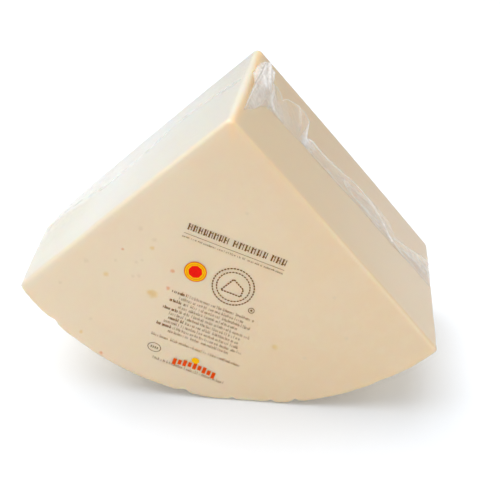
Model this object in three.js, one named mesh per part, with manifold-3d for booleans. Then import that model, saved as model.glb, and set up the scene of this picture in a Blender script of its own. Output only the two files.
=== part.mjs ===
// A wedge of pecorino romano, vacuum packed in clear film: one quarter of a half-height wheel,
// standing on its curved rind with the tip of the wedge up.
// Millimetres, +Z up. The print-side flat face looks along -Y, the left cut face up and to -X,
// the right cut face up and to +X. The origin is the middle of the bounding box, at floor level.

import * as THREE from 'three';
import { mergeVertices } from 'three/addons/utils/BufferGeometryUtils.js';
import Module from 'manifold-3d';

// ---- Driving dimensions -------------------------------------------------------------------

const DEPTH = 121;              // half the height of a 24 cm wheel
const LEFT_CUT = 157.3;         // length of the left cut edge, tip to rind
const RIGHT_CUT = 169.3;        // length of the right cut edge, tip to rind
const LEFT_ANGLE = 48.81;       // degrees between the left cut and straight down
const RIGHT_ANGLE = 41.19;      // degrees between the right cut and straight down
const RIND_RADIUS = 147.2;      // the rind of this wheel is a little slack, so rounder than its cuts
const REST_HALF_WIDTH = 18;     // half the flat spot that the cheese has settled on
const TIP_RADIUS = 5;           // rounding of the tip edge between the two cuts
const CORNER_RADIUS = 3;        // rounding where a cut meets the rind
const FACE_EDGE_RADIUS = 2.5;   // rounding round the two flat faces
const CUT_BOW = 0.6;            // how far a cut face swells between its ends

// The corner of the left cut swells where the seam of the film pulls over it.
const EAR_HEIGHT = 6.4;
const EAR_REACH = 52;           // length of the swelling along the cut
const EAR_INWARD = 16;          // how far it fades out along the rind
const LEFT_PILLOW = 1.8;        // gentle swelling of the whole left cut face

// Shallow mould marks across the rind: degrees from straight down, depth and half width.
const RIND_MARKS = [
  { angle: -47, depth: 1.4, halfWidth: 4 },
  { angle: -13.7, depth: 1.2, halfWidth: 6 },
  { angle: 11.6, depth: 1.3, halfWidth: 4 },
  { angle: 31, depth: 0.8, halfWidth: 5 },
];
const RIND_MARK_REACH = 46;     // a mark fades out this far behind the print-side face

// Eyes in the print-side face: place from the tip (across) and from the floor (up), and radius.
const EYES = [
  { across: -43.4, up: 68.6, radius: 2.9 },
  { across: -42.3, up: 97.0, radius: 1.7 },
  { across: -35.0, up: 72.4, radius: 1.5 },
  { across: -75.7, up: 26.8, radius: 1.6 },
  { across: 23.2, up: 39.0, radius: 2.0 },
  { across: -58.2, up: 95.2, radius: 1.3 },
];
const EYE_SINK = 0.35;          // share of the radius that the eye's centre stands off the face

// The welded seam of the film stands off the cut faces at mid depth, as one crumpled fin that
// runs from the left rind corner over the tip to the right rind corner.
const SEAM_GAP = 0.4;
const SEAM_THICKNESS = 1.1;
const SEAM_STEPS = 132;
const SEAM_ROWS = 5;
const SEAM_RIPPLE = 0.16;       // height of the crumples at the free edge, as a share of its lift

// Stations along the seam. along: distance from the tip, negative on the left cut.
// foot, edge: depth behind the print-side face of the crease and of the free edge.
// lift: how far the free edge stands off the cut face.
const SEAM_STATIONS = [
  { along: -150, foot: 60, edge: 62, lift: 4.0 },
  { along: -122, foot: 60, edge: 63, lift: 3.6 },
  { along: -60, foot: 60, edge: 64, lift: 3.4 },
  { along: -12, foot: 60, edge: 65, lift: 3.6 },
  { along: -2, foot: 56, edge: 72, lift: 4.0 },
  { along: 5, foot: 16, edge: 88, lift: 7.0 },
  { along: 14, foot: 44, edge: 84, lift: 6.5 },
  { along: 24, foot: 56, edge: 77, lift: 6.0 },
  { along: 36, foot: 57, edge: 84, lift: 7.5 },
  { along: 47, foot: 59, edge: 80, lift: 7.5 },
  { along: 54, foot: 60, edge: 66, lift: 4.0 },
  { along: 75, foot: 60, edge: 66, lift: 3.6 },
  { along: 106, foot: 60, edge: 70, lift: 4.4 },
  { along: 128, foot: 61, edge: 73, lift: 4.8 },
  { along: 136, foot: 62, edge: 69, lift: 3.8 },
  { along: 152, foot: 62, edge: 73, lift: 5.0 },
  { along: 164, foot: 64, edge: 77, lift: 5.6 },
];

// Fineness of the faceted surfaces.
const CUT_STEPS = 14;
const RIND_STEPS_PER_SIDE = 30;
const ROUND_STEPS = 4;
const DEPTH_STEPS = 14;
const EDGE_STEPS = 3;
const EYE_STEPS = 8;

// ---- Worked-out geometry, across (x) and up (z) in the plane of the flat faces ---------------

const radians = THREE.MathUtils.degToRad;
const smooth = THREE.MathUtils.smoothstep;

const leftDown = new THREE.Vector2(-Math.sin(radians(LEFT_ANGLE)), -Math.cos(radians(LEFT_ANGLE)));
const rightDown = new THREE.Vector2(Math.sin(radians(RIGHT_ANGLE)), -Math.cos(radians(RIGHT_ANGLE)));
const leftOut = new THREE.Vector2(leftDown.y, -leftDown.x);
const rightOut = new THREE.Vector2(-rightDown.y, rightDown.x);

const along = (start, direction, distance) => start.clone().addScaledVector(direction, distance);

// The rind's circle passes through the ends of both cuts. Heights are first taken from the tip.
function rindCentreBelow(tip) {
  const left = along(tip, leftDown, LEFT_CUT);
  const right = along(tip, rightDown, RIGHT_CUT);
  const middle = left.clone().lerp(right, 0.5);
  const chord = right.clone().sub(left);
  const upward = new THREE.Vector2(-chord.y, chord.x).normalize();
  return along(middle, upward, Math.sqrt(RIND_RADIUS ** 2 - chord.lengthSq() / 4));
}

const restHeight = Math.sqrt(RIND_RADIUS ** 2 - REST_HALF_WIDTH ** 2);
const tipHeight = restHeight - rindCentreBelow(new THREE.Vector2(0, 0)).y;
const tip = new THREE.Vector2(0, tipHeight);
const rindCentre = rindCentreBelow(tip);

// Centre of the rounding between a cut and the rind, inside both by the corner radius.
function cornerCentre(down, out) {
  const start = along(tip, out, -CORNER_RADIUS);
  const fromCentre = start.clone().sub(rindCentre);
  const half = fromCentre.dot(down);
  const reach = RIND_RADIUS - CORNER_RADIUS;
  const distance = -half + Math.sqrt(half ** 2 - fromCentre.lengthSq() + reach ** 2);
  return along(start, down, distance);
}

function arcPoints(centre, radius, from, to, steps) {
  const clockwise = to < from;
  return new THREE.EllipseCurve(centre.x, centre.y, radius, radius, from, to, clockwise).getPoints(steps);
}

// A cut edge as a very shallow curve, without its end points, which belong to the roundings.
function cutPoints(from, to, out) {
  const bowed = along(from.clone().lerp(to, 0.5), out, 2 * CUT_BOW);
  return new THREE.QuadraticBezierCurve(from, bowed, to).getPoints(CUT_STEPS).slice(1, -1);
}

function wedgeShape() {
  const tipCentre = along(along(tip, leftOut, -TIP_RADIUS), rightOut, -TIP_RADIUS);
  const leftCentre = cornerCentre(leftDown, leftOut);
  const rightCentre = cornerCentre(rightDown, rightOut);
  const leftOutAngle = leftOut.angle();
  const rightOutAngle = rightOut.angle();
  const leftRind = leftCentre.clone().sub(rindCentre).angle();
  const rightRind = rightCentre.clone().sub(rindCentre).angle();
  const restAngle = Math.asin(REST_HALF_WIDTH / RIND_RADIUS);
  const straightDown = 1.5 * Math.PI;

  const tipRound = arcPoints(tipCentre, TIP_RADIUS, rightOutAngle, leftOutAngle, ROUND_STEPS);
  const leftRound = arcPoints(leftCentre, CORNER_RADIUS, leftOutAngle, leftRind, ROUND_STEPS);
  const leftArc = arcPoints(rindCentre, RIND_RADIUS, leftRind, straightDown - restAngle,
    RIND_STEPS_PER_SIDE);
  const rightArc = arcPoints(rindCentre, RIND_RADIUS, straightDown + restAngle, rightRind,
    RIND_STEPS_PER_SIDE);
  const rightRound = arcPoints(rightCentre, CORNER_RADIUS, rightRind, rightOutAngle + 2 * Math.PI,
    ROUND_STEPS);
  return new THREE.Shape([
    ...tipRound,
    ...cutPoints(tipRound.at(-1), leftRound[0], leftOut),
    ...leftRound,
    ...leftArc.slice(1),
    ...rightArc,
    ...rightRound.slice(1),
    ...cutPoints(rightRound.at(-1), tipRound[0], rightOut),
  ]);
}

// ---- Relief --------------------------------------------------------------------------------

// How far the left cut face stands out, at a distance from the tip and a depth behind the face.
function leftSwelling(distance, depth) {
  const acrossDepth = 1 - Math.abs(2 * depth / DEPTH - 1);
  const tent = Math.max(0, acrossDepth) ** 0.85;
  const ear = EAR_HEIGHT * tent * smooth(distance, LEFT_CUT - EAR_REACH, LEFT_CUT);
  const share = THREE.MathUtils.clamp(distance / LEFT_CUT, 0, 1);
  const pillow = LEFT_PILLOW * Math.sin(Math.PI * share) * Math.sin(Math.PI * acrossDepth / 2);
  return ear + pillow;
}

function rindMarkDepth(degrees, depth) {
  const fade = 1 - smooth(depth, RIND_MARK_REACH / 3, RIND_MARK_REACH);
  return RIND_MARKS.reduce((sum, mark) => {
    const offset = radians(degrees - mark.angle) * RIND_RADIUS / mark.halfWidth;
    return sum + mark.depth * fade * Math.exp(-offset * offset);
  }, 0);
}

// Moves the points of the plain wedge out to the swollen corner and in at the mould marks.
function addRelief(geometry) {
  const position = geometry.attributes.position;
  for (let i = 0; i < position.count; i++) {
    const point = new THREE.Vector2(position.getX(i), position.getZ(i));
    const depth = position.getY(i) + DEPTH / 2;
    const fromTip = point.clone().sub(tip);
    const inside = Math.max(0, -fromTip.dot(leftOut));
    const carried = 1 - smooth(inside, 0, EAR_INWARD);
    point.addScaledVector(leftOut, carried * leftSwelling(fromTip.dot(leftDown), depth));

    const fromCentre = point.clone().sub(rindCentre);
    const degrees = THREE.MathUtils.radToDeg(Math.atan2(fromCentre.x, -fromCentre.y));
    const onRind = smooth(fromCentre.length(), RIND_RADIUS - 2 * FACE_EDGE_RADIUS, RIND_RADIUS - 1);
    const clearOfRest = smooth(Math.abs(fromCentre.x), REST_HALF_WIDTH, REST_HALF_WIDTH + 5);
    const dent = onRind * clearOfRest * rindMarkDepth(degrees, depth);
    point.addScaledVector(fromCentre.normalize(), -dent);
    position.setX(i, point.x);
    position.setZ(i, point.y);
  }
}

// ---- Solids --------------------------------------------------------------------------------

function bareGeometry(geometry) {
  geometry.deleteAttribute('normal');
  geometry.deleteAttribute('uv');
  return mergeVertices(geometry);
}

const wasm = await Module();
wasm.setup();

function toSolid(geometry) {
  const merged = bareGeometry(geometry);
  return new wasm.Manifold(new wasm.Mesh({
    numProp: 3,
    vertProperties: new Float32Array(merged.attributes.position.array),
    triVerts: new Uint32Array(merged.index.array),
  }));
}

function toGeometry(solid) {
  const mesh = solid.getMesh();
  const geometry = new THREE.BufferGeometry();
  geometry.setAttribute('position', new THREE.BufferAttribute(mesh.vertProperties, 3));
  geometry.setIndex(new THREE.BufferAttribute(mesh.triVerts, 1));
  return geometry;
}

function cheeseWedge() {
  const body = new THREE.ExtrudeGeometry(wedgeShape(), {
    depth: DEPTH - 2 * FACE_EDGE_RADIUS,
    steps: DEPTH_STEPS,
    bevelThickness: FACE_EDGE_RADIUS,
    bevelSize: FACE_EDGE_RADIUS,
    bevelOffset: -FACE_EDGE_RADIUS,
    bevelSegments: EDGE_STEPS,
  });
  body.rotateX(Math.PI / 2);
  body.translate(0, DEPTH / 2 - FACE_EDGE_RADIUS, 0);
  addRelief(body);

  let solid = toSolid(body);
  for (const eye of EYES) {
    const hollow = new THREE.SphereGeometry(eye.radius, EYE_STEPS, EYE_STEPS - 2);
    hollow.translate(eye.across, -DEPTH / 2 - EYE_SINK * eye.radius, eye.up);
    solid = solid.subtract(toSolid(hollow));
  }
  const material = new THREE.MeshStandardMaterial({ color: 0xeadbbc, roughness: 0.4, metalness: 0 });
  const mesh = new THREE.Mesh(toGeometry(solid), material);
  mesh.name = 'cheese_wedge';
  return mesh;
}

// The line that the seam follows just above the cut faces, rounded over the tip: the point and
// the outward direction at a distance from the tip, negative on the left cut.
function seamLine(distance) {
  const radius = TIP_RADIUS;
  const centre = along(along(tip, leftOut, -radius), rightOut, -radius);
  const halfArc = radius * Math.PI / 4;
  const beyond = Math.abs(distance) - halfArc;
  const out = distance < 0 ? leftOut : rightOut;
  if (beyond > 0) {
    const down = distance < 0 ? leftDown : rightDown;
    const start = along(centre, out, radius);
    return { point: along(start, down, beyond), out, fromTip: radius + beyond };
  }
  const angle = rightOut.angle() + Math.PI / 4 - distance / radius;
  const turned = new THREE.Vector2(Math.cos(angle), Math.sin(angle));
  return { point: along(centre, turned, radius), out: turned, fromTip: 0 };
}

// Smoothly interpolated station at a distance along the seam.
function seamStation(distance) {
  const last = SEAM_STATIONS.length - 1;
  const found = SEAM_STATIONS.findIndex((station) => station.along >= distance);
  const next = found < 0 ? last : Math.max(1, found);
  const from = SEAM_STATIONS[next - 1];
  const to = SEAM_STATIONS[next];
  const share = smooth(distance, from.along, to.along);
  const blend = (key) => THREE.MathUtils.lerp(from[key], to[key], share);
  return { foot: blend('foot'), edge: blend('edge'), lift: blend('lift') };
}

// Two waves of unlike length, so the crumples along the free edge never repeat evenly.
function crumpleWave(distance) {
  return Math.sin(2 * Math.PI * distance / 23) + 0.7 * Math.sin(2 * Math.PI * distance / 13.7 + 2);
}

function filmSeam() {
  const first = SEAM_STATIONS[0].along;
  const last = SEAM_STATIONS.at(-1).along;
  const strip = new THREE.BoxGeometry(1, 1, 1, SEAM_STEPS, SEAM_ROWS, 1);
  const position = strip.attributes.position;
  for (let i = 0; i < position.count; i++) {
    const distance = THREE.MathUtils.lerp(first, last, position.getX(i) + 0.5);
    const upFin = position.getY(i) + 0.5;
    const layer = position.getZ(i) + 0.5;
    const station = seamStation(distance);
    const line = seamLine(distance);
    const crumple = SEAM_RIPPLE * station.lift * upFin * crumpleWave(distance);
    const depth = THREE.MathUtils.lerp(station.foot, station.edge, upFin) + 2 * crumple;
    const swelling = distance < 0 ? leftSwelling(line.fromTip, depth) + CUT_BOW : CUT_BOW;
    const rise = station.lift * upFin + crumple;
    const place = along(line.point, line.out, SEAM_GAP + swelling + rise + layer * SEAM_THICKNESS);
    position.setXYZ(i, place.x, depth - DEPTH / 2, place.y);
  }
  const material = new THREE.MeshStandardMaterial({
    color: 0xf2f0ea, roughness: 0.15, metalness: 0, transparent: true, opacity: 0.6,
  });
  const mesh = new THREE.Mesh(bareGeometry(strip), material);
  mesh.name = 'film_seam';
  return mesh;
}

// ---- The wrapped wedge, with the middle of its box over the origin ---------------------------

const wrappedWedge = new THREE.Group();
wrappedWedge.add(cheeseWedge());
wrappedWedge.add(filmSeam());
const box = new THREE.Box3().setFromObject(wrappedWedge);
wrappedWedge.position.x = -(box.min.x + box.max.x) / 2;

export default wrappedWedge;
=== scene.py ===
# %% [markdown]
# # A wedge of pecorino romano in vacuum film
# A wheel of hard sheep's milk cheese is halved across its height and then cut into quarters.
# Each piece is sealed in clear film that shrinks tight. This one stands on its rind with the tip
# up. We build the cheese, the skin of film over it, the crumpled seam of the film, the print on
# the film and a small studio. Everything is in metres, in the same frame as the solid model.

# %% Load the frame
import math
import random

import bmesh
import bpy
import numpy as np
from mathutils import Matrix, Vector, noise
from mathutils.bvhtree import BVHTree


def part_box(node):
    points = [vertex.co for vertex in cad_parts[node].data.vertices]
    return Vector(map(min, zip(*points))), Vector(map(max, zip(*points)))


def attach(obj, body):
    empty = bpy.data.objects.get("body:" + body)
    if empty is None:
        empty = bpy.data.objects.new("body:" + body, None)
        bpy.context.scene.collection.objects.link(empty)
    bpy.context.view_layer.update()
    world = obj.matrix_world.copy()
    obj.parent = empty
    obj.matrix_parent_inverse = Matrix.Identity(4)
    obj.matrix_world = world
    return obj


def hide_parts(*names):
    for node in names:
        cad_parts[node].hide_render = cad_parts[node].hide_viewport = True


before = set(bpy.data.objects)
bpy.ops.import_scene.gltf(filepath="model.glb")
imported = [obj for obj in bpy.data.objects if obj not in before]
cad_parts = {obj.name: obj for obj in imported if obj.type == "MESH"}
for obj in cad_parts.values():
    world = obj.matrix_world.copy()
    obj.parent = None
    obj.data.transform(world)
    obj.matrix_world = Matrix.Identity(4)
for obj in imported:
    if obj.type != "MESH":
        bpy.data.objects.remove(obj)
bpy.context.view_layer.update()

# %% [markdown]
# ## The wedge's plan
# Seen from the print side, the wedge is a right angle at the tip with a cut edge on each side,
# closed by the round rind. A few real sizes give all the rest. The rind's circle has to pass
# through the ends of both cuts, so its centre is worked out and not guessed.

# %% Driving sizes
MM = 0.001
DEPTH = 121 * MM
LEFT_CUT = 157.3 * MM
RIGHT_CUT = 169.3 * MM
LEFT_ANGLE = math.radians(48.81)
RIGHT_ANGLE = math.radians(41.19)
RIND_RADIUS = 147.2 * MM
REST_HALF_WIDTH = 18 * MM
CORNER_RADIUS = 3 * MM
FRONT = -DEPTH / 2

left_down = Vector((-math.sin(LEFT_ANGLE), -math.cos(LEFT_ANGLE)))
right_down = Vector((math.sin(RIGHT_ANGLE), -math.cos(RIGHT_ANGLE)))
left_out = Vector((left_down.y, -left_down.x))
right_out = Vector((-right_down.y, right_down.x))


def rind_centre_below(tip):
    left = tip + left_down * LEFT_CUT
    right = tip + right_down * RIGHT_CUT
    chord = right - left
    upward = Vector((-chord.y, chord.x)).normalized()
    return (left + right) / 2 + upward * math.sqrt(RIND_RADIUS ** 2 - chord.length_squared / 4)


def corner_centre(tip, centre, down, out):
    start = tip - out * CORNER_RADIUS
    half = (start - centre).dot(down)
    reach = RIND_RADIUS - CORNER_RADIUS
    distance = -half + math.sqrt(half ** 2 - (start - centre).length_squared + reach ** 2)
    return start + down * distance


rest_height = math.sqrt(RIND_RADIUS ** 2 - REST_HALF_WIDTH ** 2)
tip_at_zero = Vector((0, rest_height - rind_centre_below(Vector((0, 0))).y))
right_corner = corner_centre(tip_at_zero, rind_centre_below(tip_at_zero), right_down, right_out)
wedge_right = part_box("cheese_wedge")[1][0]
tip = tip_at_zero + Vector((wedge_right - right_corner.x - CORNER_RADIUS, 0))
rind_centre = rind_centre_below(tip)
print("tip at", [round(value / MM, 2) for value in tip], "mm across and up")

# %% [markdown]
# ## Small helpers
# The same few jobs come up for every piece: turning a bmesh into an object, reading and writing
# all its points at once, smooth steps and lumpy noise. They are written once here.

# %% Helpers for meshes
def show(name, data):
    thing = bpy.data.objects.new(name, data)
    bpy.context.scene.collection.objects.link(thing)
    return thing


def from_bmesh(name, bm):
    mesh = bpy.data.meshes.new(name)
    bm.to_mesh(mesh)
    bm.free()
    return show(name, mesh)


def settle(piece):
    """Applies the modifiers of a piece to its mesh."""
    evaluated = piece.evaluated_get(bpy.context.evaluated_depsgraph_get())
    piece.data = bpy.data.meshes.new_from_object(evaluated)
    piece.modifiers.clear()
    return piece


def read_points(mesh):
    flat = np.empty(len(mesh.vertices) * 3)
    mesh.vertices.foreach_get("co", flat)
    return flat.reshape(-1, 3)


def write_points(mesh, points):
    mesh.vertices.foreach_set("co", points.ravel())
    mesh.update()


def paint(mesh, name, values):
    """Stores one number for each point, which a material can read."""
    layer = mesh.attributes.new(name, "FLOAT", "POINT")
    layer.data.foreach_set("value", np.clip(values, 0, 1).astype(np.float32))


def dress(piece, material, slot, *nodes):
    """Gives a piece its material and its body, and hides the solids that it stands for."""
    piece.data.materials.clear()
    piece.data.materials.append(material)
    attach(piece, "root")
    if nodes:
        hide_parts(*nodes)


def smoothly(values, start, end):
    share = np.clip((values - start) / (end - start), 0, 1)
    return share * share * (3 - 2 * share)


def noise_field(points, size, seed=0):
    """Smooth noise, about -1 to 1, with lumps about as wide as size."""
    shift = Vector((seed * 7.31, seed * 3.17, seed * 5.73))
    return np.array([noise.noise(Vector(point) / size + shift) for point in points])


def creased(points, size, seed=0):
    """Sharp ridges, as in crumpled film: 1 on a ridge, less away from it."""
    return 1 - 2 * np.abs(noise_field(points, size, seed))


# %% [markdown]
# ## Where things lie on the wedge
# The cuts aren't flat. The left cut swells a little, most of all where the film's seam pulls over
# its rind corner. One function gives that swelling, and another turns a place on the cuts into a
# point in space. Its first number runs over the tip: negative down the left cut, positive down
# the right one. The cheese, the film and the seam all use the same two functions, so they fit.

# %% Swelling, and points on the cuts
EAR_HEIGHT = 6.4 * MM
EAR_REACH = 52 * MM
EAR_INWARD = 16 * MM
LEFT_PILLOW = 1.8 * MM
EAR_ROUNDNESS = 0.85
CUT_BOW = 0.6 * MM
TIP_ROUNDING = 2.5 * MM


def left_swelling(distance, depth):
    across_depth = np.clip(1 - np.abs(2 * depth / DEPTH - 1), 0, 1)
    ear = EAR_HEIGHT * across_depth ** EAR_ROUNDNESS * smoothly(distance, LEFT_CUT - EAR_REACH, LEFT_CUT)
    share = np.clip(distance / LEFT_CUT, 0, 1)
    pillow = LEFT_PILLOW * np.sin(math.pi * share) * np.sin(math.pi * across_depth / 2)
    return ear + pillow + CUT_BOW * np.sin(math.pi * share)


def right_swelling(distance):
    return CUT_BOW * np.sin(math.pi * np.clip(distance / RIGHT_CUT, 0, 1))


def on_cuts(along, depth, lift):
    """Points at a lift above the cuts. along is negative on the left cut."""
    spread = np.sqrt(along ** 2 + TIP_ROUNDING ** 2)
    left_share, right_share = (spread - along) / 2, (spread + along) / 2
    plan = np.outer(left_share, left_down) + np.outer(right_share, right_down) + np.array(tip)
    turn = (1 + along / spread) / 2
    out = np.outer(1 - turn, left_out) + np.outer(turn, right_out)
    out /= np.linalg.norm(out, axis=1)[:, None]
    swelling = (1 - turn) * left_swelling(left_share, depth) + turn * right_swelling(right_share)
    plan += out * (lift + swelling)[:, None]
    return np.column_stack((plan[:, 0], FRONT + depth, plan[:, 1]))


# %% [markdown]
# ## The cheese
# The cheese was cut with a wire and then pressed by the film, so its edges are rounded unevenly:
# broad along the left cut, tight along the right one. We spin one point round the rind's centre,
# close the outline at the tip, and extrude it through the thickness. Bevel weights let a single
# Bevel modifier round every edge by its own radius. A voxel remesh then gives small even faces
# that can carry the relief, and a little smoothing takes the voxel steps away.

# %% The outline, extruded and bevelled
RIND_STEPS = 96
EDGE_RADIUS = 4.6 * MM
EDGE_SHARE = {"left": 0.9, "right": 0.28, "rind": 0.36, "back": 0.6, "corner": 0.3, "tip": 0.95}
ON_CUT = 0.1 * MM
VOXEL = 1.22 * MM
FILM_GAP = 0.12 * MM


def wedge_block():
    bm = bmesh.new()
    apex = bm.verts.new((tip.x, FRONT, tip.y))
    left_end = tip + left_down * LEFT_CUT
    right_end = tip + right_down * RIGHT_CUT
    first = bm.verts.new((left_end.x, FRONT, left_end.y))
    turn = (right_end - rind_centre).angle(left_end - rind_centre)
    bmesh.ops.spin(bm, geom=[first], cent=(rind_centre.x, FRONT, rind_centre.y),
                   axis=(0, -1, 0), angle=turn, steps=RIND_STEPS)
    last = max(bm.verts, key=lambda vert: vert.co.x)
    bm.edges.new((apex, first))
    bm.edges.new((last, apex))
    bmesh.ops.contextual_create(bm, geom=bm.edges[:])
    grown = bmesh.ops.extrude_face_region(bm, geom=bm.faces[:])
    moved = [item for item in grown["geom"] if isinstance(item, bmesh.types.BMVert)]
    bmesh.ops.translate(bm, verts=moved, vec=(0, DEPTH, 0))
    cut = bmesh.ops.bisect_plane(bm, geom=bm.verts[:] + bm.edges[:] + bm.faces[:],
                                 plane_co=(0, 0, 0), plane_no=(0, 0, -1), clear_outer=True)
    rim = [item for item in cut["geom_cut"] if isinstance(item, bmesh.types.BMEdge)]
    bmesh.ops.holes_fill(bm, edges=rim)
    bmesh.ops.recalc_face_normals(bm, faces=bm.faces[:])
    return bm


def edge_kind(edge):
    """Names the edge, so that it can be rounded by its own radius."""
    middle = sum((vert.co for vert in edge.verts), Vector()) / 2
    from_tip = Vector((middle.x, middle.z)) - tip
    runs_through = abs(edge.verts[0].co.y - edge.verts[1].co.y) > MM
    on_left = abs(from_tip.dot(left_out)) < ON_CUT
    on_right = abs(from_tip.dot(right_out)) < ON_CUT
    if runs_through:
        if from_tip.length < MM:
            return "tip"
        return "corner" if on_left or on_right else None
    if middle.y > 0:
        return "back"
    if on_left:
        return "left"
    return "right" if on_right else "rind"


bm = wedge_block()
weights = bm.edges.layers.float.new("bevel_weight_edge")
for edge in bm.edges:
    kind = edge_kind(edge)
    edge[weights] = EDGE_SHARE[kind] if kind else 0.0
cheese = from_bmesh("cheese_body", bm)
rounding = cheese.modifiers.new("rounding", "BEVEL")
rounding.limit_method = "WEIGHT"
rounding.width = EDGE_RADIUS
rounding.segments = 5
remesh = cheese.modifiers.new("even faces", "REMESH")
remesh.mode = "VOXEL"
remesh.voxel_size = VOXEL
evening = cheese.modifiers.new("no voxel steps", "SMOOTH")
evening.factor = 0.5
evening.iterations = 3
settle(cheese)
print("cheese has", len(cheese.data.polygons), "faces")

# %% [markdown]
# Now the relief. The cuts swell by the formulas above, mould marks dent the rind near its front
# rim, the whole wedge is gently uneven, and a few small eyes open on the print side. All are
# vertex moves by formulas of the place, because that keeps the remeshed surface whole.

# %% Relief of the wedge
# Each mark: degrees round the rind from straight down, depth, half width.
RIND_MARKS = ((-47, 1.4, 3), (-13.7, 1.6, 2.6), (-2.7, 1.5, 1.4), (6.1, 1.7, 1.6), (11.6, 2.0, 1.8),
              (31, 0.8, 5))
RIND_MARK_REACH = 46 * MM
RIND_LAYER = 5 * MM
RIND_LUMPS = 14 * MM
FLOOR_FADE = 6 * MM
UNEVEN = 0.22 * MM
UNEVEN_LENGTH = 26 * MM
# Each eye: across from the tip, up from the floor, radius.
EYES = ((-43.4, 68.6, 2.9), (-42.3, 97.0, 1.7), (-35.0, 72.4, 1.5), (-75.7, 26.8, 1.6),
        (23.2, 39.0, 2.0), (-58.2, 95.2, 1.3))
EYE_DEEP = 0.3
EYE_WIDE = 0.55


def around_rind(points):
    """Distance from the rind's centre, and the angle from straight down in degrees."""
    outward = points[:, (0, 2)] - np.array(rind_centre)
    return np.linalg.norm(outward, axis=1), np.degrees(np.arctan2(outward[:, 0], -outward[:, 1]))


def along_and_below(points, down, out):
    """How far points lie down a cut from the tip, and how far below its plane."""
    from_tip = points[:, (0, 2)] - np.array(tip)
    return from_tip @ np.array(down), -(from_tip @ np.array(out))


def swell(points):
    """Carries the swelling of both cuts inwards, fading with depth below the cut."""
    down_left, below_left = along_and_below(points, left_down, left_out)
    down_right, below_right = along_and_below(points, right_down, right_out)
    left_move = left_swelling(down_left, points[:, 1] - FRONT) * (1 - smoothly(below_left, 0, EAR_INWARD))
    right_move = right_swelling(down_right) * (1 - smoothly(below_right, 0, EAR_INWARD))
    points[:, (0, 2)] += np.outer(left_move, left_out) + np.outer(right_move, right_out)


def dent_rind(points):
    radius, degrees = around_rind(points)
    on_rind = smoothly(radius, RIND_RADIUS - RIND_LAYER, RIND_RADIUS - MM)
    depth = points[:, 1] - FRONT
    dent = np.zeros(len(points))
    for angle, deep, half_width in RIND_MARKS:
        offset = np.radians(degrees - angle) * RIND_RADIUS / (half_width * MM)
        dent += deep * MM * np.exp(-offset ** 2)
    dent *= 1 - smoothly(depth, RIND_MARK_REACH / 3, RIND_MARK_REACH)
    lumps = 2 * UNEVEN * noise_field(points, RIND_LUMPS, 2)
    above_floor = smoothly(points[:, 2], 0.2 * MM, FLOOR_FADE)
    outward = (points[:, (0, 2)] - np.array(rind_centre)) / radius[:, None]
    points[:, (0, 2)] += outward * (on_rind * (above_floor * lumps - dent))[:, None]


def open_eyes(points):
    for across, up, size in EYES:
        radius = size * MM
        offset = points - np.array((tip.x + across * MM, FRONT, up * MM))
        distance = np.linalg.norm(offset * (1, 0.2, 1), axis=1)
        near_front = offset[:, 1] < 4 * MM
        points[:, 1] += near_front * EYE_DEEP * radius * np.exp(-(distance / (EYE_WIDE * radius)) ** 2)


points = read_points(cheese.data)
swell(points)
dent_rind(points)
uneven = UNEVEN * noise_field(points, UNEVEN_LENGTH)
points[:, 1] += uneven * np.sign(points[:, 1]) * smoothly(np.abs(points[:, 1]), 40 * MM, 60 * MM)
skin_points = points.copy()
open_eyes(points)
points[:, 2] = np.maximum(points[:, 2], FILM_GAP)
write_points(cheese.data, points)
cheese.data.shade_smooth()
print("cheese reaches", round(points[:, 2].max() / MM, 1), "mm up")

# %% [markdown]
# ## How the cheese looks
# Ivory paste that light enters and leaves again a few millimetres away, so it needs subsurface
# scattering. The print side is almost plain, with faint mottling, a fine grain and a few stains
# round the eyes. Some light and shade is painted into the colour as well. The left cut is painted
# paler, as painted light and a painted reflection of the key light in the film. The right cut is
# painted darker, as painted shade on the side turned from the light, most of all behind the seam.
# The thin edges and the tip carry a painted warm glow, as of light shining through them. Down the
# front edge of the right cut runs a pale crease of the film, partly a painted highlight. It's
# hardly thicker than the film itself, so it is a look of the cheese and no piece. How far each
# look goes is painted on the cheese's points.

# %% Helpers for materials
def new_material(name):
    material = bpy.data.materials.new(name)
    material.use_nodes = True
    return material, material.node_tree, material.node_tree.nodes["Principled BSDF"]


def fill(node, values):
    """Sets inputs of a node to plain values, or links them where the value is a socket."""
    for name, value in values.items():
        if isinstance(value, bpy.types.NodeSocket):
            node.id_data.links.new(value, node.inputs[name])
        else:
            node.inputs[name].default_value = value


def add(tree, kind, values=(), **settings):
    """A new node with its settings and with some of its inputs filled."""
    node = tree.nodes.new(kind)
    for name, value in settings.items():
        setattr(node, name, value)
    fill(node, dict(values))
    return node


def object_place(tree):
    return add(tree, "ShaderNodeTexCoord").outputs["Object"]


def noise_at(tree, place, size, detail=3.0, roughness=0.5):
    """Noise with lumps about as wide as size."""
    values = {"Vector": place, "Scale": 1 / size, "Detail": detail, "Roughness": roughness}
    return add(tree, "ShaderNodeTexNoise", values).outputs["Fac"]


def remap(tree, value, low, high, to_low, to_high):
    values = {"Value": value, "From Min": low, "From Max": high, "To Min": to_low, "To Max": to_high}
    return add(tree, "ShaderNodeMapRange", values, interpolation_type="SMOOTHSTEP").outputs["Result"]


def tint(tree, base, share, colour):
    """Mixes a colour over a base by a share, a socket that goes from 0 to 1."""
    return add(tree, "ShaderNodeMix", {0: share, 6: base, 7: (*colour, 1)}, data_type="RGBA").outputs[2]


def painted(tree, name):
    return add(tree, "ShaderNodeAttribute", attribute_name=name).outputs["Fac"]


def math_node(tree, operation, first, second):
    return add(tree, "ShaderNodeMath", {0: first, 1: second}, operation=operation).outputs[0]


def bump(tree, height, distance, strength):
    values = {"Height": height, "Distance": distance, "Strength": strength}
    return add(tree, "ShaderNodeBump", values).outputs["Normal"]


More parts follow.
